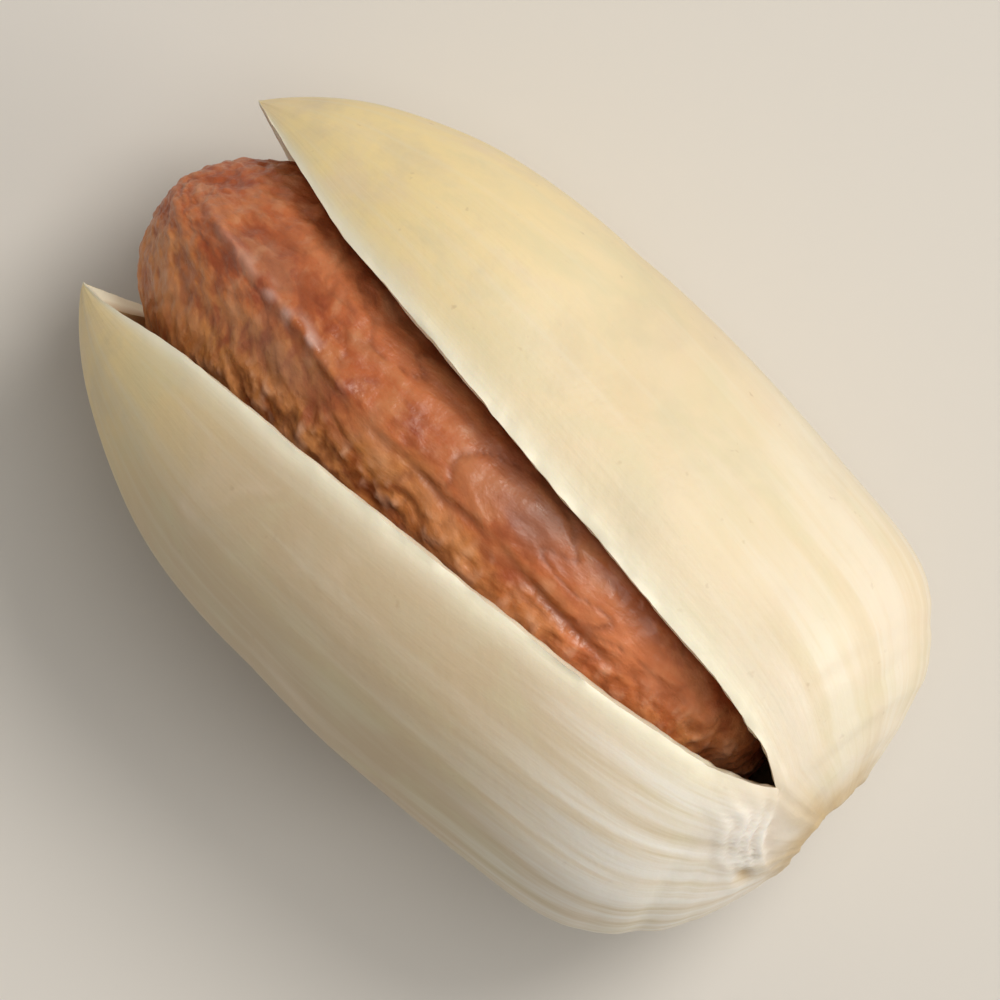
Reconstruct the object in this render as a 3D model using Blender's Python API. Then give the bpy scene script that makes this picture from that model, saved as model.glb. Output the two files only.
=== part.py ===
"""A pistachio in its split shell: the bony shell, whose two valves are still joined at the stem end, and the
kernel that lies inside it.

Metres, +Z up. The long axis is X: the two beaked tips point to -X, and the blunt stem end to +X. The slit faces
+Z, the valves open towards +Y and -Y, and the nut rests on a small flat spot at Z = 0.
"""

import math

import bpy
import bmesh

MM = 0.001

# The shell, in millimetres. Heights are measured from its middle, which is the level of the two tips.
LENGTH = 20.5
HALF_WIDTH = 5.65  # of the closed nut; the opening adds to it
HALF_HEIGHT = 5.95
WIDEST_X = 3.2
HIGHEST_X = 1.2
STEM_BLUNTNESS = 6.0  # of the width; a higher power gives a blunter stem end
STEM_LOPSIDED = 0.8  # how much blunter the +Y valve is than the other one
STEM_PROFILE = 3.4  # the same power, of the height
TIP_TAPER = 3.1
TIP_PROFILE = 2.6
TIP_BLUNTNESS = 1.1  # 1 is a sharp tip
WALL = 0.78
STEM_WALL = 1.1
BEAK = 0.9  # the solid point of each valve, past the end of the cavity
CAVITY_POWER = 1.3  # the cavity is fuller towards the tip than the outside by this much
FLAT_DEPTH = 0.16  # how much the flat spot takes off the round underside

# The opening: each valve has swung out from the middle plane.
TIP_GAP = 2.83  # from the middle plane to each tip
SLIT_END_X = 8.9
BACK_SPLIT_END_X = -1.5  # the split along the underside stops here
BACK_SPLIT_CURVE = 1.25
SLIT_END_ROUNDNESS = 0.06  # the share of the slit's length that its rounded end takes
SLIT_SHARES = (0.67, 0.22, 0.11)  # straight opening, rounded end, flare of the tips
TIP_FLARE_START = 0.8
LIP_BULGE = 0.05

# The kernel, in millimetres. Its section is rounder at its stem end than at its tip.
KERNEL_STEM_X = 8.15
KERNEL_TIP_X = -10.25
KERNEL_WIDEST_X = 1.2
KERNEL_HALF_WIDTH = 4.2
KERNEL_TOP = 5.1
KERNEL_BOTTOM = -4.7
KERNEL_STEM_ROUNDNESS = 2.9
KERNEL_TIP_WIDTH = 2.9  # the powers by which its width, top and underside narrow towards the tip
KERNEL_TIP_TOP = 2.1
KERNEL_TIP_UNDERSIDE = 0.8
KERNEL_SECTION = (1.9, 1.5)  # 2 is an ellipse and 1 a diamond: at the stem end, at the tip

# How finely the surfaces are divided.
SHELL_STATIONS = 30
SHELL_COLUMNS = 14  # from one suture to the other, on each valve
LIP_STEPS = 4
KERNEL_STATIONS = 20
KERNEL_COLUMNS = 24

STEM_END = LENGTH / 2
TIP_END = -LENGTH / 2
MIDDLE_Z = HALF_HEIGHT - FLAT_DEPTH
OUTER, INNER = 0, LIP_STEPS


def smooth_step(value):
    value = min(max(value, 0.0), 1.0)
    return value * value * (3 - 2 * value)


def station_x(share, stem_end, tip_end):
    """X at a share of the way from the stem end to the tip, with the stations closer together at the stem end."""
    return stem_end - (stem_end - tip_end) * share * share * (2 - share)


def taper(x, fullest_x, stem_end, tip_end, stem_power, tip_power):
    """The share of the full width or height that is left at x: blunt at the stem end, pointed at the tip."""
    if x >= fullest_x:
        return math.sqrt(max(0.0, 1 - ((x - fullest_x) / (stem_end - fullest_x)) ** stem_power))
    return (1 - ((fullest_x - x) / (fullest_x - tip_end)) ** tip_power) ** (1 / TIP_BLUNTNESS)


def slit_gap(x):
    """How far the lip of each valve has moved out from the middle plane, along the slit."""
    share = max(0.0, (SLIT_END_X - x) / (SLIT_END_X - TIP_END))
    straight, rounded, flared = SLIT_SHARES
    flare = smooth_step((share - TIP_FLARE_START) / (1 - TIP_FLARE_START))
    return TIP_GAP * (straight * share + rounded * (1 - math.exp(-share / SLIT_END_ROUNDNESS)) + flared * flare)


def back_gap(x):
    """The same along the underside, where the split is shorter."""
    return TIP_GAP * max(0.0, (BACK_SPLIT_END_X - x) / (BACK_SPLIT_END_X - TIP_END)) ** BACK_SPLIT_CURVE


def valve_point(station, column, side, layer):
    """A point of one valve's outer or inner surface, after the opening. Column 0 is the slit's lip."""
    share = station / SHELL_STATIONS
    outside_x = station_x(share, STEM_END, TIP_END)
    angle = math.pi * column / SHELL_COLUMNS
    bluntness = STEM_BLUNTNESS + side * STEM_LOPSIDED * math.sin(angle)
    if layer == OUTER:
        stem_end, tip_end, wall, fuller = STEM_END, TIP_END, 0.0, 1.0
    else:
        stem_end, tip_end, wall, fuller = STEM_END - STEM_WALL, TIP_END + BEAK, WALL, CAVITY_POWER
    x = station_x(share, stem_end, tip_end)
    width = taper(x, WIDEST_X, stem_end, tip_end, bluntness, TIP_TAPER * fuller) * (HALF_WIDTH - wall)
    height = taper(x, HIGHEST_X, stem_end, tip_end, STEM_PROFILE, TIP_PROFILE * fuller) * (HALF_HEIGHT - wall)
    level = math.cos(angle) * (1 - wall / HALF_HEIGHT if angle < math.pi / 2 else 1.0)
    towards_slit = (1 + level) / 2
    gap = back_gap(outside_x) + (slit_gap(outside_x) - back_gap(outside_x)) * towards_slit
    z = height * math.cos(angle)
    if layer == OUTER:
        z = max(z, FLAT_DEPTH - HALF_HEIGHT)
    return x, side * (width * math.sin(angle) + gap), z


def lip_point(station, column, side, layer):
    """A point across the broken edge of a valve, which bulges a little between its outer and inner surfaces."""
    outer = valve_point(station, column, side, OUTER)
    inner = valve_point(station, column, side, INNER)
    share = layer / LIP_STEPS
    x, y, z = (a + (b - a) * share for a, b in zip(outer, inner))
    bulge = min(LIP_BULGE, 0.3 * abs(y)) * 4 * share * (1 - share)
    return x, y - side * bulge, z


def shell_mesh():
    mesh = bmesh.new()
    made = {}
    last_closed = {
        0: sum(station_x(i / SHELL_STATIONS, STEM_END, TIP_END) > SLIT_END_X for i in range(SHELL_STATIONS)),
        SHELL_COLUMNS: sum(
            station_x(i / SHELL_STATIONS, STEM_END, TIP_END) > BACK_SPLIT_END_X for i in range(SHELL_STATIONS)
        ),
    }

    def vertex(station, column, side, layer):
        """The valves share a vertex where the suture between them is closed, and each end is a single point."""
        closed = column in last_closed and station <= last_closed[column]
        key = (
            station,
            0 if station in (0, SHELL_STATIONS) else column,
            0 if closed or station == 0 else side,
            layer,
        )
        if key not in made:
            point = lip_point if layer not in (OUTER, INNER) else valve_point
            x, y, z = point(station, column, side, layer)
            if key[2] == 0:
                y = 0.0
            made[key] = mesh.verts.new((x * MM, y * MM, (z + MIDDLE_Z) * MM))
        return made[key]

    def face(*corners):
        """A face from its corners, which may meet in one point at either end."""
        kept = list(dict.fromkeys(vertex(*corner) for corner in corners))
        if len(kept) > 2:
            mesh.faces.new(kept)

    for side in (1, -1):
        for station in range(SHELL_STATIONS):
            for column in range(SHELL_COLUMNS):
                for layer in (OUTER, INNER):
                    face(
                        (station, column, side, layer),
                        (station + 1, column, side, layer),
                        (station + 1, column + 1, side, layer),
                        (station, column + 1, side, layer),
                    )
            for column, closed_to in last_closed.items():
                if station < closed_to:
                    continue
                for layer in range(LIP_STEPS):
                    face(
                        (station, column, side, layer),
                        (station + 1, column, side, layer),
                        (station + 1, column, side, layer + 1),
                        (station, column, side, layer + 1),
                    )
    return mesh


def kernel_size(along, tip_power):
    """The share of the kernel's full section, from -1 at its tip through its widest place to 1 at its stem end."""
    power = KERNEL_STEM_ROUNDNESS if along > 0 else tip_power
    return math.sqrt(max(0.0, 1 - abs(along) ** power))


def rounded(value, power):
    """A sine or cosine that draws a superellipse of this power."""
    return math.copysign(abs(value) ** (2 / power), value)


def kernel_point(station, column):
    along = math.cos(math.pi * station / KERNEL_STATIONS)
    turn = 2 * math.pi * column / KERNEL_COLUMNS
    end = KERNEL_STEM_X if along > 0 else KERNEL_TIP_X
    x = KERNEL_WIDEST_X + abs(along) * (end - KERNEL_WIDEST_X)
    at_stem, at_tip = KERNEL_SECTION
    section = at_stem + (at_tip - at_stem) * smooth_step((1 - along) / 2)
    y = KERNEL_HALF_WIDTH * kernel_size(along, KERNEL_TIP_WIDTH) * rounded(math.sin(turn), section)
    underside = math.cos(turn) < 0
    height = KERNEL_BOTTOM if underside else KERNEL_TOP
    size = kernel_size(along, KERNEL_TIP_UNDERSIDE if underside else KERNEL_TIP_TOP)
    z = abs(height * rounded(math.cos(turn), section)) * size * (-1 if underside else 1)
    return x, y, z


def kernel_mesh():
    mesh = bmesh.new()
    rings = []
    for station in range(KERNEL_STATIONS + 1):
        columns = KERNEL_COLUMNS if 0 < station < KERNEL_STATIONS else 1
        points = [kernel_point(station, column) for column in range(columns)]
        rings.append([mesh.verts.new((x * MM, y * MM, (z + MIDDLE_Z) * MM)) for x, y, z in points])
    for near, far in zip(rings, rings[1:]):
        for column in range(KERNEL_COLUMNS):
            following = (column + 1) % KERNEL_COLUMNS
            corners = [near[column % len(near)], near[following % len(near)]]
            corners += [far[following % len(far)], far[column % len(far)]]
            mesh.faces.new(list(dict.fromkeys(corners)))
    return mesh


def add_object(name, mesh, color, roughness):
    bmesh.ops.recalc_face_normals(mesh, faces=mesh.faces)
    data = bpy.data.meshes.new(name)
    mesh.to_mesh(data)
    mesh.free()
    data.shade_smooth()
    data.set_sharp_from_angle(angle=math.radians(50))
    material = bpy.data.materials.new(name)
    material.use_nodes = True
    shader = material.node_tree.nodes["Principled BSDF"]
    shader.inputs["Base Color"].default_value = (*color, 1)
    shader.inputs["Roughness"].default_value = roughness
    shader.inputs["Metallic"].default_value = 0.0
    data.materials.append(material)
    bpy.context.scene.collection.objects.link(bpy.data.objects.new(name, data))


for old in list(bpy.data.objects):
    bpy.data.objects.remove(old)
add_object("shell", shell_mesh(), color=(0.78, 0.66, 0.46), roughness=0.55)
add_object("kernel", kernel_mesh(), color=(0.32, 0.12, 0.05), roughness=0.5)
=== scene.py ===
"""The looks of a pistachio in its split shell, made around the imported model: the bony shell with its ribs,
seam, stem scar and broken lips, and the wrinkled kernel in its red-brown skin.

The frame is in metres. Shapes here are worked out in millimetres from the shell's middle, with +X towards
the stem end, +Z up out of the slit, and one valve on either side, at +Y and -Y. to_frame() takes them to
metres.
"""

import math

import bmesh
import bpy
import numpy as np
from mathutils import Matrix, Vector, noise


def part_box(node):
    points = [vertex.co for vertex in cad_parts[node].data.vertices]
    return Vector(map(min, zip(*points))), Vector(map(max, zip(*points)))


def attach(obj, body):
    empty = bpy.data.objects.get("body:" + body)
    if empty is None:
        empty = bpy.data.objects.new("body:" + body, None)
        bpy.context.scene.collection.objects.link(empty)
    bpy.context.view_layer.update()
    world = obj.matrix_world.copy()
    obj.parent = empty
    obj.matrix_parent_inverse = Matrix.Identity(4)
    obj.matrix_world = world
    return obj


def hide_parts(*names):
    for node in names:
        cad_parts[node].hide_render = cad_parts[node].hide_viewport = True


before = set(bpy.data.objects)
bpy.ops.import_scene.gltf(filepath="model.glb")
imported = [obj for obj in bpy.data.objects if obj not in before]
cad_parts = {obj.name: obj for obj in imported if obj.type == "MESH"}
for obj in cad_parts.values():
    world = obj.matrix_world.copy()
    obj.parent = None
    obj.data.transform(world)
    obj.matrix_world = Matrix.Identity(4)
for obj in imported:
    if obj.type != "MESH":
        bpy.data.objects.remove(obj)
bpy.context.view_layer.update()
SHELL_LOW, SHELL_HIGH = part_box("shell")
KERNEL_LOW, KERNEL_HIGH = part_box("kernel")

MM = 0.001

# The shell, in millimetres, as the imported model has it.
LENGTH = (SHELL_HIGH.x - SHELL_LOW.x) / MM
HALF_HEIGHT = 5.95
HALF_WIDTH = 5.65  # of the closed nut; the opening adds to it
FLAT_DEPTH = 2 * HALF_HEIGHT - (SHELL_HIGH.z - SHELL_LOW.z) / MM  # cut off the underside by the flat spot
STEM_END = LENGTH / 2
TIP_END = -LENGTH / 2
WIDEST_X = 3.2
HIGHEST_X = 1.2
STEM_BLUNTNESS = 6.0  # of the width; a higher power gives a blunter stem end
STEM_LOPSIDED = 0.8  # added to that power on the +Y valve, and taken off it on the -Y valve
STEM_PROFILE = 3.4  # the same power, of the height
TIP_TAPER = 3.1
TIP_PROFILE = 2.6
TIP_BLUNTNESS = 1.1  # 1 is a sharp tip
WALL = 0.78
STEM_WALL = 1.1
BEAK = 0.9  # the solid point of each valve, past the end of the cavity
BEAK_START = -7.0
CAVITY_POWER = 1.3  # times the tip powers: the cavity is fuller towards the tip than the outside
TIP_GAP = 2.83  # from the middle plane to each tip
SLIT_END_X = 8.9
BACK_SPLIT_END_X = -1.5  # the split along the underside stops here
BACK_SPLIT_CURVE = 1.25
SLIT_END_ROUNDNESS = 0.06  # the share of the slit's length that its rounded end takes
SLIT_SHARES = (0.67, 0.22, 0.11)  # straight opening, rounded end, flare of the tips
TIP_FLARE_START = 0.8
LIP_BULGE = 0.015

# Marks on the shell, in millimetres. At its reach a patch has faded by two thirds.
RIBS_START_X = 2.0  # the ribs grow stronger from here to the stem end
SCAR_RADIUS = 1.1
SCAR_RIM_RADIUS = 1.3
PORE_YZ = (0.25, -0.2)
STAIN_XY = (9.95, 0.2)
STAIN_REACH = 0.5
RIDGES_XY = (9.1, -1.15)  # the short ridges beside the slit's end
RIDGES_REACH = (0.75, 0.95)
RIDGE_MIDDLES = (4.1, 4.5, 4.86, 5.25)  # measured across the ridges, which slant
RIDGE_WIDTH = 0.14
RIDGE_SLANT = 3.0
CREVICE_XY = (9.65, -1.95)
CREVICE_RADIUS = 0.17

# The kernel, in millimetres from the shell's middle.
KERNEL_STEM_X = KERNEL_HIGH.x / MM
KERNEL_TIP_X = KERNEL_LOW.x / MM
KERNEL_WIDEST_X = 1.2
KERNEL_HALF_WIDTH = 4.2
KERNEL_TOP = 5.1
KERNEL_BOTTOM = -4.7
KERNEL_STEM_ROUNDNESS = 2.9
KERNEL_TIP_WIDTH = 2.9  # the powers by which its width, top and underside narrow towards the tip
KERNEL_TIP_TOP = 2.1
KERNEL_TIP_UNDERSIDE = 0.8
KERNEL_SECTION = (1.9, 1.5)  # 2 is an ellipse and 1 a diamond: at the stem end, at the tip

# Marks on the kernel's skin. A patch has a middle and a reach in x and y, and a dusky one its strength too.
NEAR_TIP_X = -3.0
GROOVE_Y = -0.45
CREST_SLOPE = -0.115
# The first patch is painted shade on the -Y side of the crest near the tip; the other two are darker skin.
DUSKY_SKIN_AND_SHADE_PATCHES = (
    ((-5.9, -0.8), (1.7, 0.45), 1.0),
    ((0.5, 0.6), (1.3, 0.5), 1.5),
    ((-7.4, 0.5), (1.0, 0.5), 0.7),
)
RUDDY_PATCH = ((3.9, -0.4), (1.5, 0.8))

# How finely the meshes are divided.
SHELL_STATIONS = 230
SHELL_COLUMNS = 84
LIP_STEPS = 8
LIP_CROWDING = 0.44  # how much closer together the columns are at the lips
KERNEL_STATIONS = 320
KERNEL_COLUMNS = 300
SHARP_EDGE = math.radians(50)

MIDDLE_Z = HALF_HEIGHT - FLAT_DEPTH  # from the floor to the shell's middle
SEED_SHIFT = np.array([17.3, -9.1, 5.7])  # how far apart the noise of two seeds is read


def to_frame(points):
    """Millimetres from the shell's middle to metres in the frame."""
    return (points + np.array([0, 0, MIDDLE_Z])) * MM


def smooth_step(value):
    value = np.clip(value, 0, 1)
    return value * value * (3 - 2 * value)


def rise(value, start, over):
    """0 up to the start, then rising smoothly to 1."""
    return smooth_step((value - start) / over)


def hump(distance, reach):
    """1 at no distance, falling smoothly to almost 0 at twice the reach."""
    return np.exp(-((distance / reach) ** 2))


def patch(x, y, middle, reach):
    return hump(x - middle[0], reach[0]) * hump(y - middle[1], reach[1])


def bumps(points, seed, per_mm=1.0, height=1.0, octaves=1):
    """Smooth noise, from about -height to height, at each point. per_mm is one number or three."""
    shifted = points * np.asarray(per_mm) + seed * SEED_SHIFT
    if octaves == 1:
        return height * np.array([noise.noise(point) for point in shifted.tolist()])
    return height * np.array([noise.fractal(point, 1.0, 2.0, octaves) for point in shifted.tolist()])


def along_ribs(turn, along, across, lengthwise):
    """Points on a stretched cylinder: noise read there runs in lines from the stem end to the tip."""
    return np.column_stack([across * np.cos(turn), across * np.sin(turn), lengthwise * along])


def station_x(share, stem_end, tip_end):
    return stem_end - (stem_end - tip_end) * share * share * (2 - share)


def taper(x, fullest_x, stem_end, tip_end, stem_power, tip_power):
    stem_share = np.clip((x - fullest_x) / (stem_end - fullest_x), 0, 1)
    tip_share = np.clip((fullest_x - x) / (fullest_x - tip_end), 0, 1)
    return np.sqrt(1 - stem_share**stem_power) * (1 - tip_share**tip_power) ** (1 / TIP_BLUNTNESS)


def slit_gap(x):
    share = np.clip((SLIT_END_X - x) / (SLIT_END_X - TIP_END), 0, None)
    straight, rounded, flared = SLIT_SHARES
    round_end = 1 - np.exp(-share / SLIT_END_ROUNDNESS)
    flare = rise(share, TIP_FLARE_START, over=1 - TIP_FLARE_START)
    return TIP_GAP * (straight * share + rounded * round_end + flared * flare)


def back_gap(x):
    share = np.clip((BACK_SPLIT_END_X - x) / (BACK_SPLIT_END_X - TIP_END), 0, None)
    return TIP_GAP * share**BACK_SPLIT_CURVE


def valve_points(share, angle, side, inside):
    """One valve's outer or inner surface at each share of the length and angle from the slit."""
    outside_x = station_x(share, STEM_END, TIP_END)
    bluntness = STEM_BLUNTNESS + side * STEM_LOPSIDED * np.sin(angle)
    x, stem_end, tip_end, wall, fuller = outside_x, STEM_END, TIP_END, 0.0, 1.0
    if inside:
        stem_end, tip_end, wall, fuller = STEM_END - STEM_WALL, TIP_END + BEAK, WALL, CAVITY_POWER
        # Straight in from the outside along the lips, and closer together in both ends.
        outside_marks = (TIP_END, BEAK_START, SLIT_END_X, STEM_END)
        x = np.interp(outside_x, outside_marks, (tip_end, BEAK_START, SLIT_END_X, stem_end))
    width = taper(x, WIDEST_X, stem_end, tip_end, bluntness, TIP_TAPER * fuller)
    width *= HALF_WIDTH - wall
    height = taper(x, HIGHEST_X, stem_end, tip_end, STEM_PROFILE, TIP_PROFILE * fuller)
    height *= HALF_HEIGHT - wall
    top_share = (1 + np.cos(angle)) / 2
    gap = back_gap(outside_x) + (slit_gap(outside_x) - back_gap(outside_x)) * top_share
    y = side * (width * np.sin(angle) + gap)
    return np.stack(np.broadcast_arrays(x, y, height * np.cos(angle)), axis=-1)


def column_angles():
    """From slit to back, closer together near both lips."""
    share = np.arange(SHELL_COLUMNS + 1) / SHELL_COLUMNS
    return math.pi * (share - LIP_CROWDING * np.sin(2 * math.pi * share) / (2 * math.pi))


def strips(ids):
    """Quads between the rows of a grid of point numbers; corners that meet are left out."""
    quads = np.stack([ids[:-1, :-1], ids[1:, :-1], ids[1:, 1:], ids[:-1, 1:]], axis=-1).reshape(-1, 4)
    faces = [tuple(dict.fromkeys(quad)) for quad in quads.tolist()]
    return [face for face in faces if len(face) > 2]


class Points:
    """The points of a mesh as they are made, with the values that the materials read."""

    def __init__(self):
        self.blocks, self.values, self.count = [], [], 0

    def add(self, points, turn, along, inside):
        """Adds a grid of points and returns their numbers, in the same grid."""
        shape = points.shape[:-1]
        flat = [np.broadcast_to(value, shape).ravel() for value in (turn, along, inside)]
        self.blocks.append(points.reshape(-1, 3))
        self.values.append(np.column_stack(flat))
        ids = np.arange(self.count, self.count + flat[0].size).reshape(shape)
        self.count += flat[0].size
        return ids


def shell_base():
    """The undisplaced shell: points, values (turn, along, inside) and faces."""
    made = Points()
    share = (np.arange(SHELL_STATIONS + 1) / SHELL_STATIONS)[:, None]
    angle = column_angles()[None, :]
    outside_x = station_x(share[:, 0], STEM_END, TIP_END)
    # The valves share their first points along the top column, 0, and along the back column, the last one.
    closed_to = {
        0: int((outside_x > SLIT_END_X).sum()),
        SHELL_COLUMNS: int((outside_x > BACK_SPLIT_END_X).sum()),
    }
    ids, grids, faces = {}, {}, []
    for inside in (False, True):
        for side in (1, -1):
            grid = valve_points(share, angle, side, inside)
            for column, last in closed_to.items():
                grid[: last + 1, column, 1] = 0
            number = made.add(grid, side * angle, share, float(inside))
            number[0, :] = number[0, 0]
            number[-1, :] = number[-1, 0]
            if side == -1:
                number[0, :] = ids[inside, 1][0, 0]
                for column, last in closed_to.items():
                    number[: last + 1, column] = ids[inside, 1][: last + 1, column]
            ids[inside, side], grids[inside, side] = number, grid
            faces += strips(number)
    across = np.arange(1, LIP_STEPS) / LIP_STEPS
    for side in (1, -1):
        for column, last in closed_to.items():
            outer = grids[False, side][last:, column][:, None, :]
            inner = grids[True, side][last:, column][:, None, :]
            depth = across[None, :, None]
            grid = outer + (inner - outer) * depth
            most = np.minimum(LIP_BULGE, 0.3 * np.abs(grid[..., 1]))
            grid[..., 1] -= side * most * (4 * across * (1 - across))[None, :]
            number = made.add(grid, side * angle[0, column], share[last:], across[None, :])
            if side == -1:
                number[0] = ids["lip", 1, column][0]
            if column:
                number[-1] = ids["lip", side, 0][-1]
            ids["lip", side, column] = number
            edge = ids[False, side][last:, column][:, None]
            inner_edge = ids[True, side][last:, column][:, None]
            faces += strips(np.hstack([edge, number, inner_edge]))
    return np.vstack(made.blocks), np.vstack(made.values), faces


def mesh_from(name, points, faces):
    """A mesh with its faces turned outwards and its unused points left out, and which points were kept."""
    used = np.unique([corner for face in faces for corner in face])
    renumber = np.full(len(points), -1)
    renumber[used] = np.arange(len(used))
    lookup = renumber.tolist()
    mesh = bpy.data.meshes.new(name)
    kept_faces = [[lookup[corner] for corner in face] for face in faces]
    mesh.from_pydata(to_frame(points[used]).tolist(), [], kept_faces)
    work = bmesh.new()
    work.from_mesh(mesh)
    bmesh.ops.recalc_face_normals(work, faces=work.faces)
    work.to_mesh(mesh)
    work.free()
    mesh.shade_smooth()
    return mesh, used


def normals_of(mesh):
    normals = np.empty(len(mesh.vertices) * 3, np.float32)
    mesh.vertex_normals.foreach_get("vector", normals)
    return normals.reshape(-1, 3).astype(float)


def set_points(mesh, points):
    mesh.vertices.foreach_set("co", to_frame(points).astype(np.float32).ravel())
    mesh.update()


def store_all(mesh, marks):
    """Keeps what each mark says at each point, one number or a row of three, for the material to read."""
    for name, values in marks.items():
        kind, field = ("FLOAT", "value") if values.ndim == 1 else ("FLOAT_VECTOR", "vector")
        layer = mesh.attributes.new(name, kind, "POINT")
        layer.data.foreach_set(field, values.astype(np.float32).ravel())


class ShellPlaces:
    """Where each point of the smooth shell lies, in the terms that its marks use."""

    def __init__(self, points, turn, along, inside):
        self.points, self.turn, self.along, self.inside = points, turn, along, inside
        self.x, self.y, self.z = points.T
        self.on_top = self.z > 0
        self.from_axis = np.hypot(self.y, self.z)
        self.near_stem = rise(self.x, RIBS_START_X, over=6.0)
        self.at_stem = rise(self.x, STEM_END - 3.0, over=0.8)
        self.minus_side = rise(-self.y, 0, over=2.0)
        self.from_lip = np.minimum(np.abs(turn), math.pi - np.abs(turn))
        behind = np.abs(turn) > 2
        split = np.where(behind, self.x < BACK_SPLIT_END_X, True)
        self.open_here = rise(-self.x, -SLIT_END_X, over=2.0) * split


def uneven_surface(shell):
    """The shell is a little lumpy, and ribbed lengthwise, most of all towards the stem end."""
    relief = bumps(shell.points, 1, per_mm=0.16, height=0.10)
    relief += bumps(shell.points, 2, per_mm=0.4, height=0.045)
    ribs = bumps(along_ribs(shell.turn, shell.along, 5.0, 2.4), 3, octaves=2)
    fine_ribs = bumps(along_ribs(shell.turn, shell.along, 15.0, 4.0), 4, octaves=2)
    relief += (0.012 + 0.022 * shell.near_stem) * ribs
    return relief + (0.002 + 0.004 * shell.near_stem) * fine_ribs


def seams(shell):
    """The relief and the mark of the closed seam, between the slit and the stem scar and along the back."""
    distance = np.abs(shell.y)
    uneven_distance = np.abs(shell.y + bumps(shell.points, 15, per_mm=1.6, height=0.12, octaves=2))
    before_scar = rise(shell.from_axis, 1.9, over=0.8)
    top = rise(shell.x, SLIT_END_X - 0.8, over=0.8) * shell.on_top * before_scar
    back = rise(shell.x, BACK_SPLIT_END_X, over=1.5) * (shell.z < 0) * np.where(shell.x > 6, before_scar, 1)
    relief = top * (0.07 * hump(distance, 0.4) - 0.05 * hump(uneven_distance, 0.07))
    relief += back * (0.05 * hump(distance, 0.6) - 0.08 * hump(distance, 0.10))
    return relief, top * hump(distance, 0.35) + back * 0.5 * hump(distance, 0.2)


def stem_scar(shell):
    """The relief and the mark of the scar where the stem was: a shallow dish with a low rim and a pore."""
    uneven = bumps(shell.points, 9, per_mm=0.8)
    radius = shell.from_axis + 0.45 * uneven + bumps(shell.points, 10, per_mm=2.5, height=0.12)
    dish = shell.at_stem * (1 - rise(radius, SCAR_RADIUS, over=0.4))
    rim = shell.at_stem * hump(radius - SCAR_RIM_RADIUS, 0.26)
    pore = shell.at_stem * hump(np.hypot(shell.y - PORE_YZ[0], shell.z - PORE_YZ[1]), 0.2)
    depth = 0.12 - bumps(shell.points, 11, per_mm=3.5, height=0.06, octaves=2)
    relief = 0.09 * rim - dish * depth - 0.3 * pore
    # A stain reaches from the scar up towards the slit.
    stain_radius = np.hypot(shell.y, shell.z - 0.7) + 0.3 * uneven
    stain_radius += bumps(shell.points, 14, per_mm=1.3, height=0.25, octaves=2)
    stain = 0.8 * (1 - rise(stain_radius, 1.0, over=1.4))
    from_spot = np.hypot(shell.x - STAIN_XY[0], shell.y - STAIN_XY[1])
    stain = np.maximum(stain, 0.85 * hump(from_spot, STAIN_REACH) * shell.on_top)
    return relief, shell.at_stem * np.maximum(dish, stain)


def ridges_beside_slit(shell):
    """Short ridges that slant down over the -Y valve to a small crevice: their relief, where they are,
    painted shade where that lies between them, and the crevice, which the material darkens with painted
    shade.
    """
    across = shell.from_axis + RIDGE_SLANT * np.maximum(-shell.turn, 0)
    across += bumps(shell.points, 7, per_mm=1.1, height=0.25, octaves=2)
    here = patch(shell.x, shell.y, RIDGES_XY, RIDGES_REACH) * shell.on_top
    ridges = here * sum(hump(across - middle, RIDGE_WIDTH) for middle in RIDGE_MIDDLES)
    from_crevice = np.hypot(shell.x - CREVICE_XY[0], shell.y - CREVICE_XY[1])
    crevice = hump(from_crevice, CREVICE_RADIUS) * shell.on_top
    grain = bumps(shell.points, 8, per_mm=3.0, height=0.03, octaves=2)
    relief = 0.17 * ridges + here * grain - 0.15 * crevice
    return relief, here, np.clip(here - 1.6 * ridges, 0, 1), crevice


def rings_at_stem(shell):
    """Faint uneven rings round the scar."""
    rings = bumps(np.column_stack([shell.from_axis * 1.6, shell.turn * 0.5, 0 * shell.x]), 12, octaves=2)
    return 0.05 * shell.at_stem * rise(shell.from_axis, 1.6, over=1.0) * rings


def ragged_lips(shell):
    """How far each point moves in y and in z, because the shell broke open along its lips."""
    ragged = hump(shell.from_lip, 0.07) * shell.open_here
    edge = np.column_stack([shell.x * 0.9, np.sign(shell.turn) * 7 + 0 * shell.x, shell.inside * 0.8])
    near_slit_end = hump(shell.x - SLIT_END_X + 0.9, 0.9)
    crumbs = (0.015 + 0.08 * near_slit_end) * bumps(edge, 13, per_mm=3.2, octaves=2)
    sideways = ragged * (bumps(edge, 5, height=0.045, octaves=4) + crumbs)
    upwards = ragged * (bumps(edge, 6, height=0.05, octaves=4) + crumbs)
    return sideways, upwards


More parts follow.
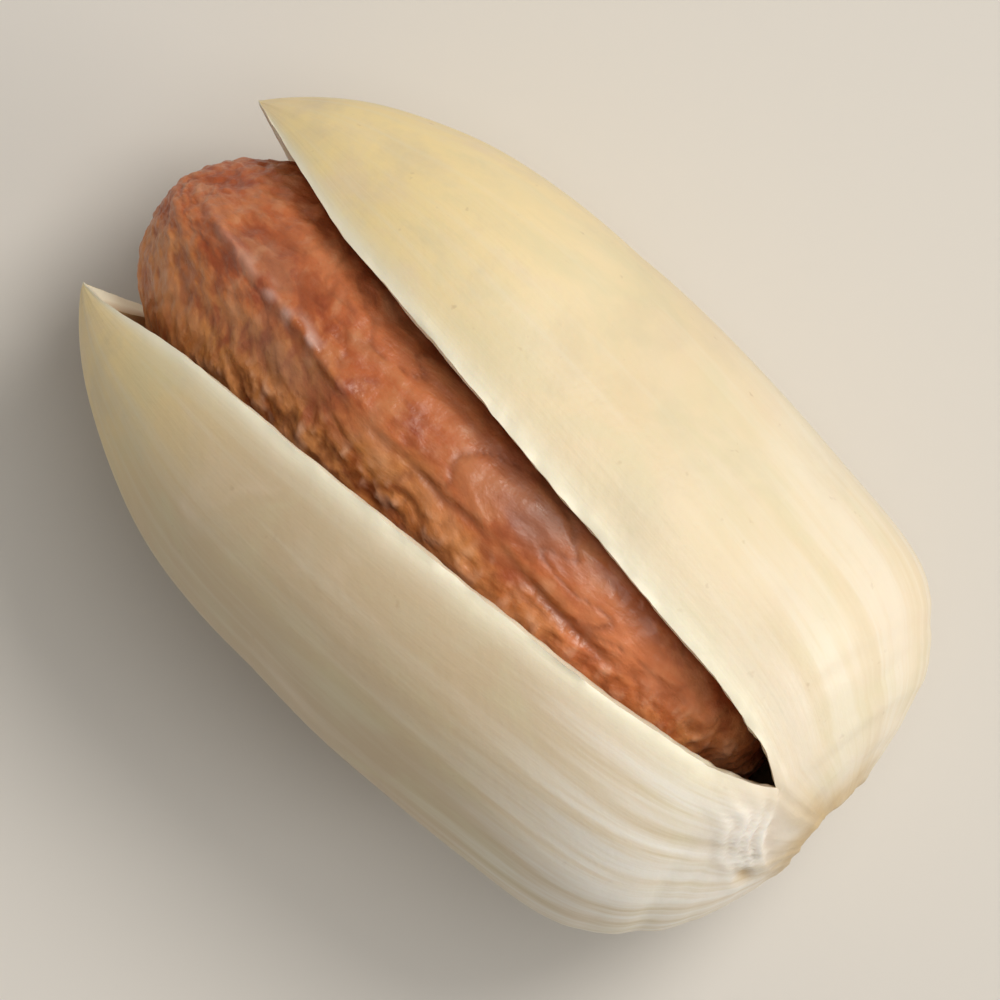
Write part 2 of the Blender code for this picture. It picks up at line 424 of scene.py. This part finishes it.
def make_shell():
    points, values, faces = shell_base()
    mesh, used = mesh_from("shell_surface", points, faces)
    shell = ShellPlaces(points[used], *values[used].T)
    seam_relief, seam = seams(shell)
    scar_relief, scar = stem_scar(shell)
    ridge_relief, beside_slit, painted_shade_between_ridges, crevice = ridges_beside_slit(shell)
    relief = uneven_surface(shell) + seam_relief + scar_relief + ridge_relief
    relief += (1 - beside_slit) * rings_at_stem(shell)
    relief *= 1 - smooth_step(shell.inside * 3)
    displaced = shell.points + normals_of(mesh) * relief[:, None]
    sideways, upwards = ragged_lips(shell)
    displaced[:, 1] += sideways
    displaced[:, 2] = np.maximum(displaced[:, 2] + upwards, -MIDDLE_Z)
    set_points(mesh, displaced)
    mesh.set_sharp_from_angle(angle=SHARP_EDGE)
    # The painted shade on the -Y valve fades past the tips.
    painted_shade_fade_past_tip = 1 - 0.85 * rise(shell.along, 0.74, over=0.2)
    store_all(
        mesh,
        {
            "fibre": np.column_stack([np.cos(shell.turn), np.sin(shell.turn), shell.along]),
            "along": shell.along,
            "inside": shell.inside,
            # Painted shade on the -Y valve, fading towards the stem end and the tips.
            "painted_shade_minus_y": shell.minus_side * painted_shade_fade_past_tip * (1 - 0.75 * shell.near_stem),
            "ribbed": shell.near_stem * (0.3 + 0.7 * shell.minus_side),
            # The scar's own brown, and painted shade in the small crevice.
            "scar": np.maximum(scar, crevice),
            "beside_slit": beside_slit,
            # Painted shade between the ridges.
            "painted_shade_between_ridges": painted_shade_between_ridges,
            "seam": seam,
            "lip": hump(shell.from_lip, 0.09) * shell.open_here,
        },
    )
    return mesh


def kernel_size(along, tip_power):
    power = np.where(along > 0, KERNEL_STEM_ROUNDNESS, tip_power)
    return np.sqrt(np.clip(1 - np.abs(along) ** power, 0, 1))


def rounded(value, power):
    return np.sign(value) * np.abs(value) ** (2 / power)


def kernel_base():
    """The smooth kernel: points and faces."""
    share = (np.arange(KERNEL_STATIONS + 1) / KERNEL_STATIONS)[:, None]
    turn = (2 * math.pi * np.arange(KERNEL_COLUMNS) / KERNEL_COLUMNS)[None, :]
    along = np.cos(math.pi * share)
    end = np.where(along > 0, KERNEL_STEM_X, KERNEL_TIP_X)
    x = KERNEL_WIDEST_X + np.abs(along) * (end - KERNEL_WIDEST_X) + 0 * turn
    at_stem, at_tip = KERNEL_SECTION
    section = at_stem + (at_tip - at_stem) * smooth_step((1 - along) / 2)
    y = KERNEL_HALF_WIDTH * kernel_size(along, KERNEL_TIP_WIDTH) * rounded(np.sin(turn), section)
    underside = np.cos(turn) < 0
    height = np.where(underside, -KERNEL_BOTTOM, KERNEL_TOP)
    size = kernel_size(along, np.where(underside, KERNEL_TIP_UNDERSIDE, KERNEL_TIP_TOP))
    z = height * size * rounded(np.cos(turn), section)
    number = np.arange(x.size).reshape(x.shape)
    number[0, :], number[-1, :] = number[0, 0], number[-1, 0]
    return np.stack([x, y, z], axis=-1).reshape(-1, 3), strips(np.hstack([number, number[:, :1]]))


class KernelPlaces:
    """Where each point of the smooth kernel lies, in the terms that its marks use."""

    def __init__(self, points):
        self.points = points
        self.x, self.y, self.z = points.T
        self.on_top = self.z > 0
        self.near_tip = rise(-self.x, -NEAR_TIP_X, over=5.0)
        self.past_plus_lip = self.y - slit_gap(self.x)
        self.past_minus_lip = self.y + slit_gap(self.x)
        self.lengthwise = np.column_stack([self.x, 0 * self.x, 0 * self.x])
        # Noise read along these lines is stretched lengthwise. They wander, and slant near the tip.
        wander = bumps(points, 21, per_mm=0.22, height=0.5) + bumps(points, 28, per_mm=0.6, height=0.2)
        into_tip = self.near_tip * (self.x - NEAR_TIP_X)
        slant = 0.3 * into_tip * rise(-self.y, -2.5, over=4)
        along = 0.24 * self.x + 0.2 * into_tip
        self.lines = np.column_stack([along, self.y + wander + slant, self.z + wander])
        # The edge of one seed half shows as a groove at this y, a little to the -Y side of the ridge.
        self.groove_y = GROOVE_Y + bumps(self.lengthwise, 25, per_mm=0.5, height=0.3)
        self.groove_y += bumps(self.lengthwise, 32, per_mm=1.7, height=0.08)


def groove_beside_ridge(kernel):
    groove = hump(kernel.y - kernel.groove_y, 0.12) * kernel.on_top
    groove *= rise(kernel.x, -5.4, over=1.8) * rise(-kernel.x, -5.5, over=2)
    return groove * np.clip(0.65 + bumps(kernel.lengthwise, 33, per_mm=0.8, height=1.1), 0.1, 1)


def crest_near_tip(kernel):
    """Before the groove starts, the ridge stands up as a thin crest towards the tip."""
    crest_y = -0.22 + CREST_SLOPE * (kernel.x + 4) + bumps(kernel.lengthwise, 31, per_mm=0.6, height=0.15)
    crest = hump(kernel.y - crest_y, 0.17) * kernel.on_top
    return crest * rise(-kernel.x, 3.2, over=1.5) * rise(kernel.x, -9.8, over=1.2)


def crumpled_at_lip(kernel):
    """Where the skin meets the -Y lip it is crumpled into small lumps: where, and the lumps."""
    here = hump(kernel.past_minus_lip - 0.35, 0.45) * rise(kernel.x, -8, over=2) * kernel.on_top
    here *= 1 - 0.5 * rise(kernel.x, -1.5, over=1.5)
    return here, bumps(kernel.points, 36, per_mm=2.8, octaves=2)


def make_kernel():
    points, faces = kernel_base()
    mesh, used = mesh_from("kernel_surface", points, faces)
    kernel = KernelPlaces(points[used])
    points, x, y, lines, near_tip = kernel.points, kernel.x, kernel.y, kernel.lines, kernel.near_tip
    groove, crest = groove_beside_ridge(kernel), crest_near_tip(kernel)
    crumpled, crumples = crumpled_at_lip(kernel)

    folds = bumps(lines, 22, per_mm=1.05, octaves=2)
    small_folds = bumps(lines, 23, per_mm=2.6, octaves=3)
    flank = near_tip * rise(-y, -0.3, over=1.2)
    warped = points * np.array([2.4, 3.2, 3.2]) + bumps(points, 34, per_mm=1.5, height=0.3)[:, None]
    crinkle = bumps(warped, 30, octaves=3)
    creases = hump(bumps(lines, 35, per_mm=(1.1, 1.3, 1.3), octaves=2), 0.07)
    creases *= (1 - crest) * (1 - 0.6 * near_tip) * rise(-x, -6.5, over=2)
    # The skin bulges up beside the +Y lip.
    shoulder = hump(kernel.past_plus_lip + 0.3, 1.0) * rise(x, -9, over=2) * kernel.on_top
    # The broad +Y side of the ridge is smoother, with faint ripples across it.
    smooth_side = smooth_step((y - kernel.groove_y) / 0.6) * (1 - near_tip) * kernel.on_top
    across = np.column_stack([x * 1.4 + 0.5 * y, lines[:, 1] * 0.4, lines[:, 2] * 0.4])
    ripples = bumps(across, 26, octaves=2)

    relief = 0.085 * folds * (1 - 0.8 * crest) * (1 - 0.5 * flank) + 0.04 * small_folds + 0.04 * crinkle
    relief *= 1 - 0.35 * smooth_side
    relief += 0.13 * crumpled * crumples - 0.035 * creases - 0.10 * groove
    relief += bumps(points, 24, per_mm=0.42, height=0.12) + 0.03 * ripples + 0.15 * crest + 0.18 * shoulder
    set_points(mesh, points + normals_of(mesh) * relief[:, None])

    # Darker skin in patches, with painted shade in the first one, on the -Y side of the crest.
    dusky_skin_and_shade = sum(strength * patch(x, y, middle, reach) for middle, reach, strength in DUSKY_SKIN_AND_SHADE_PATCHES)
    dusky_skin_and_shade *= kernel.on_top * (0.75 + bumps(points, 37, per_mm=0.9, height=0.6))
    ruddy = kernel.on_top * patch(x, y, *RUDDY_PATCH) * (0.8 + bumps(points, 38, per_mm=1.1, height=0.6))
    pits = crumpled * smooth_step(-2.2 * crumples - 0.2)
    # Breaks the painted highlight on the crest into glints.
    glints = smooth_step(0.5 + bumps(points, 39, per_mm=(2.2, 3.0, 3.0), height=1.8))
    warm_distance = kernel.groove_y + 0.6 - y + bumps(points, 27, per_mm=0.7, height=0.9)
    # Painted light in a band beside the +Y lip, which lifts the shade that the lip casts there.
    painted_light_band = hump(kernel.past_plus_lip + 0.75, 0.4) * kernel.on_top * rise(x, -9, over=2)
    store_all(
        mesh,
        {
            "lines": lines,
            # The height of the folds, for painted shade in their hollows and painted light on their tops.
            "folds": np.clip(0.5 + 1.2 * folds * (1 - 0.5 * flank) + 0.7 * small_folds, 0, 1),
            # The dark seam of the groove, and painted shade in the creases and in the pits between the
            # lumps.
            "dark_seam_and_painted_crease_shade": np.maximum.reduce([groove, 0.6 * creases, 0.9 * pits]),
            "crumpled": crumpled,
            # Painted glints on the tops of the lumps.
            "painted_lump_glints": crumpled * smooth_step(2.4 * crumples - 0.3),
            "dusky_skin_and_shade": np.clip(dusky_skin_and_shade, 0, 1),
            "ruddy": np.clip(ruddy, 0, 1),
            # Painted highlight along the crest, brightest towards the tip.
            "painted_crest_highlight": np.clip(crest * glints * (0.25 + hump(x + 6.0, 1.4)), 0, 1),
            # Painted shade along the +Y lip, where the lip shades the skin.
            "painted_shade_plus_y_lip": rise(kernel.past_plus_lip, -0.35, over=0.35),
            "painted_light_band": painted_light_band,
            "warm_side": smooth_step(warm_distance / 1.2),
        },
    )
    return mesh


class Nodes:
    """A short way to build a material's node tree."""

    def __init__(self, name):
        self.material = bpy.data.materials.new(name)
        self.material.use_nodes = True
        self.tree = self.material.node_tree
        self.shader = self.tree.nodes["Principled BSDF"]

    def link(self, value, socket):
        if isinstance(value, bpy.types.NodeSocket):
            self.tree.links.new(value, socket)
        else:
            socket.default_value = value

    def place(self):
        """Where a point of the object is, in metres."""
        return self.tree.nodes.new("ShaderNodeTexCoord").outputs["Object"]

    def mark(self, name, output="Fac"):
        """What store_all() kept under this name."""
        node = self.tree.nodes.new("ShaderNodeAttribute")
        node.attribute_name = name
        return node.outputs[output]

    def noise(self, vector, scale, detail=3.0, roughness=0.5, distortion=0.0):
        """Noise at the vector; scale is one number, or three for noise that is stretched."""
        if isinstance(scale, tuple):
            stretch = self.tree.nodes.new("ShaderNodeMapping")
            self.link(vector, stretch.inputs["Vector"])
            stretch.inputs["Scale"].default_value = scale
            vector, scale = stretch.outputs[0], 1.0
        node = self.tree.nodes.new("ShaderNodeTexNoise")
        self.link(vector, node.inputs["Vector"])
        node.inputs["Scale"].default_value = scale
        node.inputs["Detail"].default_value = detail
        node.inputs["Roughness"].default_value = roughness
        node.inputs["Distortion"].default_value = distortion
        return node.outputs["Fac"]

    def ramp(self, value, *stops):
        """A colour or grey for each (position, colour) stop, read at the value."""
        node = self.tree.nodes.new("ShaderNodeValToRGB")
        self.link(value, node.inputs[0])
        elements = node.color_ramp.elements
        while len(elements) < len(stops):
            elements.new(0.5)
        for element, (position, colour) in zip(elements, stops):
            element.position = position
            element.color = (colour,) * 3 + (1,) if isinstance(colour, (int, float)) else (*colour, 1)
        return node.outputs[0]

    def mix(self, first, share, second):
        """The first colour, with this share of the second one in it."""
        node = self.tree.nodes.new("ShaderNodeMix")
        node.data_type = "RGBA"
        self.link(share, node.inputs[0])
        self.link(first if isinstance(first, bpy.types.NodeSocket) else (*first, 1), node.inputs[6])
        self.link(second if isinstance(second, bpy.types.NodeSocket) else (*second, 1), node.inputs[7])
        return node.outputs[2]

    def times(self, first, second):
        node = self.tree.nodes.new("ShaderNodeMath")
        node.operation = "MULTIPLY"
        self.link(first, node.inputs[0])
        self.link(second, node.inputs[1])
        return node.outputs[0]

    def bump(self, height, distance, strength, below=None):
        node = self.tree.nodes.new("ShaderNodeBump")
        node.inputs["Strength"].default_value = strength
        node.inputs["Distance"].default_value = distance
        self.link(height, node.inputs["Height"])
        if below is not None:
            self.link(below, node.inputs["Normal"])
        return node.outputs[0]

    def finish(self, colour, roughness, bump, **uniform):
        """Links the three to the shader, sets its uniform values and returns the material."""
        self.link(colour, self.shader.inputs["Base Color"])
        self.link(roughness, self.shader.inputs["Roughness"])
        self.link(bump, self.shader.inputs["Normal"])
        for name, value in uniform.items():
            self.shader.inputs[name.replace("_", " ")].default_value = value
        return self.material


def shell_material():
    nodes = Nodes("pistachio_shell")
    fibre, place, along = nodes.mark("fibre", "Vector"), nodes.place(), nodes.mark("along")
    broad = nodes.noise(place, 180.0)
    patches = nodes.noise(place, 620.0, 4.0, 0.6)
    clouds = nodes.noise(place, (300.0, 520.0, 520.0), 4.0, 0.55, 0.5)
    specks = nodes.noise(place, 3000.0, 2.0)
    streaks = nodes.noise(fibre, (9.0, 9.0, 2.5), 4.0, 0.6, 0.3)
    threads = nodes.noise(fibre, (42.0, 42.0, 7.0), 3.0, 0.6)

    # Cream bone: greyer at the stem end and yellower at the tips, with painted shade on the -Y valve.
    bone = nodes.ramp(
        broad,
        (0.32, (0.79, 0.64, 0.40)),
        (0.52, (0.83, 0.70, 0.48)),
        (0.72, (0.85, 0.76, 0.58)),
    )
    bone = nodes.mix(bone, nodes.ramp(along, (0.0, 0.65), (0.45, 0.0)), (0.82, 0.74, 0.61))
    bone = nodes.mix(bone, nodes.ramp(along, (0.58, 0.0), (0.86, 0.9)), (0.98, 0.77, 0.38))
    # Painted shade on the -Y valve.
    bone = nodes.mix(bone, nodes.times(nodes.mark("painted_shade_minus_y"), 0.88), (0.65, 0.505, 0.325))
    # Faint greenish and pinkish clouds, duller patches and a few small specks.
    bone = nodes.mix(bone, nodes.ramp(clouds, (0.34, 0.4), (0.48, 0.0)), (0.72, 0.66, 0.42))
    bone = nodes.mix(bone, nodes.ramp(clouds, (0.54, 0.0), (0.70, 0.45)), (0.84, 0.67, 0.49))
    bone = nodes.mix(bone, nodes.ramp(patches, (0.50, 0.0), (0.78, 0.5)), (0.68, 0.58, 0.40))
    bone = nodes.mix(bone, nodes.ramp(specks, (0.71, 0.0), (0.79, 0.35)), (0.50, 0.36, 0.20))
    # White ribs with grey lines between them towards the stem end, and thin streaks all along.
    ribbed = nodes.mark("ribbed")
    white = nodes.times(nodes.ramp(streaks, (0.36, 0.0), (0.60, 0.85)), ribbed)
    bone = nodes.mix(bone, white, (0.97, 0.94, 0.88))
    grey = nodes.times(nodes.ramp(streaks, (0.30, 0.3), (0.46, 0.0)), ribbed)
    bone = nodes.mix(bone, grey, (0.64, 0.58, 0.46))
    bone = nodes.mix(bone, nodes.ramp(streaks, (0.50, 0.0), (0.80, 0.35)), (0.88, 0.82, 0.68))
    bone = nodes.mix(bone, nodes.ramp(threads, (0.58, 0.0), (0.85, 0.12)), (0.62, 0.50, 0.32))
    # The pale broken lips, the ridges beside the slit with painted shade between them, the brown scar with
    # painted shade in the small crevice, and the seam.
    bone = nodes.mix(bone, nodes.times(nodes.mark("lip"), 0.95), (0.99, 0.92, 0.72))
    bone = nodes.mix(bone, nodes.times(nodes.mark("beside_slit"), 0.85), (0.99, 0.94, 0.87))
    bone = nodes.mix(bone, nodes.mark("painted_shade_between_ridges"), (0.68, 0.57, 0.45))
    scar = nodes.mix((0.40, 0.24, 0.08), nodes.noise(place, 2200.0, 4.0, 0.65), (0.70, 0.50, 0.22))
    bone = nodes.mix(bone, nodes.times(nodes.mark("scar"), 0.9), scar)
    bone = nodes.mix(bone, nodes.times(nodes.mark("seam"), 0.3), (0.66, 0.50, 0.30))
    lining = nodes.mix((0.50, 0.33, 0.16), patches, (0.66, 0.50, 0.28))
    bone = nodes.mix(bone, nodes.ramp(nodes.mark("inside"), (0.6, 0.0), (1.0, 1.0)), lining)

    bump = nodes.bump(threads, 0.03 * MM, 0.2)
    bump = nodes.bump(nodes.noise(place, 5200.0, 2.0), 0.02 * MM, 0.4, bump)
    return nodes.finish(
        bone,
        nodes.ramp(streaks, (0.3, 0.50), (0.8, 0.36)),
        bump,
        Subsurface_Weight=0.12,
        Subsurface_Radius=(1.0, 0.7, 0.4),
        Subsurface_Scale=0.6 * MM,
    )


def kernel_material():
    nodes = Nodes("pistachio_kernel_skin")
    lines, place, folds = nodes.mark("lines", "Vector"), nodes.place(), nodes.mark("folds")
    broad = nodes.noise(place, 300.0, 4.0, 0.6)
    grains = nodes.noise(place, (1500.0, 2300.0, 2300.0), 4.0, 0.6, 0.4)
    blotches = nodes.noise(lines, (4.5, 1.3, 1.3), 3.0, 0.5, 0.2)
    streaks = nodes.noise(lines, (3.5, 3.2, 3.2), 5.0, 0.65, 0.3)
    threads = nodes.noise(lines, (9.0, 10.0, 10.0), 4.0, 0.6, 0.4)

    # Red-brown skin, and tawnier on the -Y side of the ridge.
    rosy = nodes.ramp(
        broad,
        (0.3, (0.45, 0.095, 0.028)),
        (0.5, (0.57, 0.150, 0.044)),
        (0.7, (0.64, 0.225, 0.075)),
    )
    tawny = nodes.ramp(
        broad,
        (0.3, (0.53, 0.168, 0.048)),
        (0.5, (0.64, 0.240, 0.070)),
        (0.7, (0.69, 0.300, 0.09)),
    )
    skin = nodes.mix(rosy, nodes.times(nodes.mark("warm_side"), 0.85), tawny)
    # Blotches, streaks, threads and grains, and painted shade in the hollows of the folds with painted light
    # on their tops.
    skin = nodes.mix(skin, nodes.ramp(blotches, (0.30, 0.75), (0.48, 0.0)), (0.34, 0.065, 0.022))
    skin = nodes.mix(skin, nodes.ramp(streaks, (0.50, 0.0), (0.72, 0.35)), (0.72, 0.33, 0.16))
    skin = nodes.mix(skin, nodes.ramp(blotches, (0.54, 0.0), (0.70, 0.5)), (0.74, 0.36, 0.19))
    skin = nodes.mix(skin, nodes.ramp(threads, (0.52, 0.0), (0.74, 0.15)), (0.28, 0.05, 0.015))
    skin = nodes.mix(skin, nodes.ramp(grains, (0.32, 0.3), (0.48, 0.0)), (0.36, 0.075, 0.02))
    skin = nodes.mix(skin, nodes.ramp(grains, (0.54, 0.0), (0.72, 0.22)), (0.72, 0.33, 0.15))
    skin = nodes.mix(skin, nodes.ramp(folds, (0.12, 0.5), (0.42, 0.0)), (0.32, 0.06, 0.014))
    skin = nodes.mix(skin, nodes.ramp(folds, (0.6, 0.0), (0.9, 0.25)), (0.70, 0.32, 0.14))
    # The marks that have a place of their own: painted light in a band beside the +Y lip, painted shade
    # along the +Y lip, dusky patches that are partly painted shade, the ruddy patch, a painted highlight on
    # the crest, painted glints on the lumps, and the dark seam with painted shade in the creases and pits.
    for name, share, colour in (
        ("painted_light_band", 0.35, (0.84, 0.31, 0.13)),
        ("painted_shade_plus_y_lip", 0.6, (0.58, 0.10, 0.018)),
        ("dusky_skin_and_shade", 0.65, (0.29, 0.130, 0.090)),
        ("ruddy", 0.6, (0.80, 0.28, 0.12)),
        ("painted_crest_highlight", 0.6, (0.86, 0.58, 0.50)),
        ("painted_lump_glints", 0.65, (0.84, 0.50, 0.33)),
        ("dark_seam_and_painted_crease_shade", 0.68, (0.16, 0.035, 0.01)),
    ):
        skin = nodes.mix(skin, nodes.times(nodes.mark(name), share), colour)

    gloss = nodes.ramp(streaks, (0.35, 0.44), (0.7, 0.27))
    gloss = nodes.mix(gloss, nodes.times(nodes.mark("crumpled"), 0.8), (0.16, 0.16, 0.16))
    bump = nodes.bump(threads, 0.03 * MM, 0.5)
    bump = nodes.bump(nodes.noise(place, 3600.0), 0.06 * MM, 0.6, bump)
    return nodes.finish(
        skin,
        gloss,
        bump,
        Specular_IOR_Level=0.4,
        Coat_Weight=0.1,
        Coat_Roughness=0.1,
        Subsurface_Weight=0.08,
        Subsurface_Radius=(1.0, 0.4, 0.2),
        Subsurface_Scale=0.4 * MM,
    )


def add_piece(name, mesh, material, node):
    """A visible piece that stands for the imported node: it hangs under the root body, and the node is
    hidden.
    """
    piece = bpy.data.objects.new(name, mesh)
    mesh.materials.append(material)
    bpy.context.scene.collection.objects.link(piece)
    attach(piece, "root")
    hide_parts(node)


def add_camera():
    """Almost straight down, with the tips to the upper left and the stem end to the lower right."""
    middle = Vector((-0.07, 0.18, MIDDLE_Z)) * MM
    lean = math.radians(2.4)  # towards the +Y valve
    heading = math.radians(44.0)
    distance = 0.35
    camera = bpy.data.objects.new("camera", bpy.data.cameras.new("camera"))
    camera.data.lens = 560.0
    camera.data.sensor_width = 36.0
    camera.data.clip_start, camera.data.clip_end = 0.01, 5.0
    turned = Matrix.Rotation(-lean, 4, "X") @ Matrix.Rotation(heading, 4, "Z")
    camera.matrix_world = Matrix.Translation(middle) @ turned @ Matrix.Translation((0, 0, distance))
    bpy.context.scene.collection.objects.link(camera)
    bpy.context.scene.camera = camera


def add_light(name, azimuth, elevation, distance, size, power, colour):
    """A round area light that looks at the nut. Azimuth 0 is over +X and 90 over +Y."""
    across, up = math.radians(azimuth), math.radians(elevation)
    away = Vector((math.cos(across) * math.cos(up), math.sin(across) * math.cos(up), math.sin(up)))
    light = bpy.data.objects.new(name, bpy.data.lights.new(name, "AREA"))
    light.data.shape = "DISK"
    light.data.size = size
    light.data.energy = power
    light.data.color = colour
    light.location = away * distance
    light.rotation_euler = (-away).to_track_quat("-Z", "Y").to_euler()
    bpy.context.scene.collection.objects.link(light)


def add_floor():
    half = 1.5
    corners = [(-half, -half, 0), (half, -half, 0), (half, half, 0), (-half, half, 0)]
    mesh = bpy.data.meshes.new("floor")
    mesh.from_pydata(corners, [], [(0, 1, 2, 3)])
    floor = bpy.data.objects.new("floor", mesh)
    nodes = Nodes("pale_floor")
    nodes.shader.inputs["Base Color"].default_value = (0.73, 0.70, 0.655, 1)
    nodes.shader.inputs["Roughness"].default_value = 0.8
    mesh.materials.append(nodes.material)
    bpy.context.scene.collection.objects.link(floor)


def add_studio():
    """Soft light from the +Y side, from low at the stem end and from above, over a dim even glow."""
    add_floor()
    world = bpy.data.worlds.new("studio")
    world.use_nodes = True
    background = world.node_tree.nodes["Background"]
    background.inputs["Color"].default_value = (1.0, 0.98, 0.94, 1)
    background.inputs["Strength"].default_value = 0.26
    bpy.context.scene.world = world
    add_light("key", 80, 55, distance=0.30, size=0.12, power=0.41, colour=(1.0, 0.95, 0.88))
    add_light("side", 28, 16, distance=0.30, size=0.12, power=0.26, colour=(1.0, 0.97, 0.92))
    add_light("top", 64, 76, distance=0.40, size=0.22, power=0.34, colour=(1.0, 0.97, 0.92))
    bpy.context.scene.view_settings.view_transform = "Standard"


add_piece("shell_split", make_shell(), shell_material(), "shell")
add_piece("kernel_seed", make_kernel(), kernel_material(), "kernel")
add_camera()
add_studio()
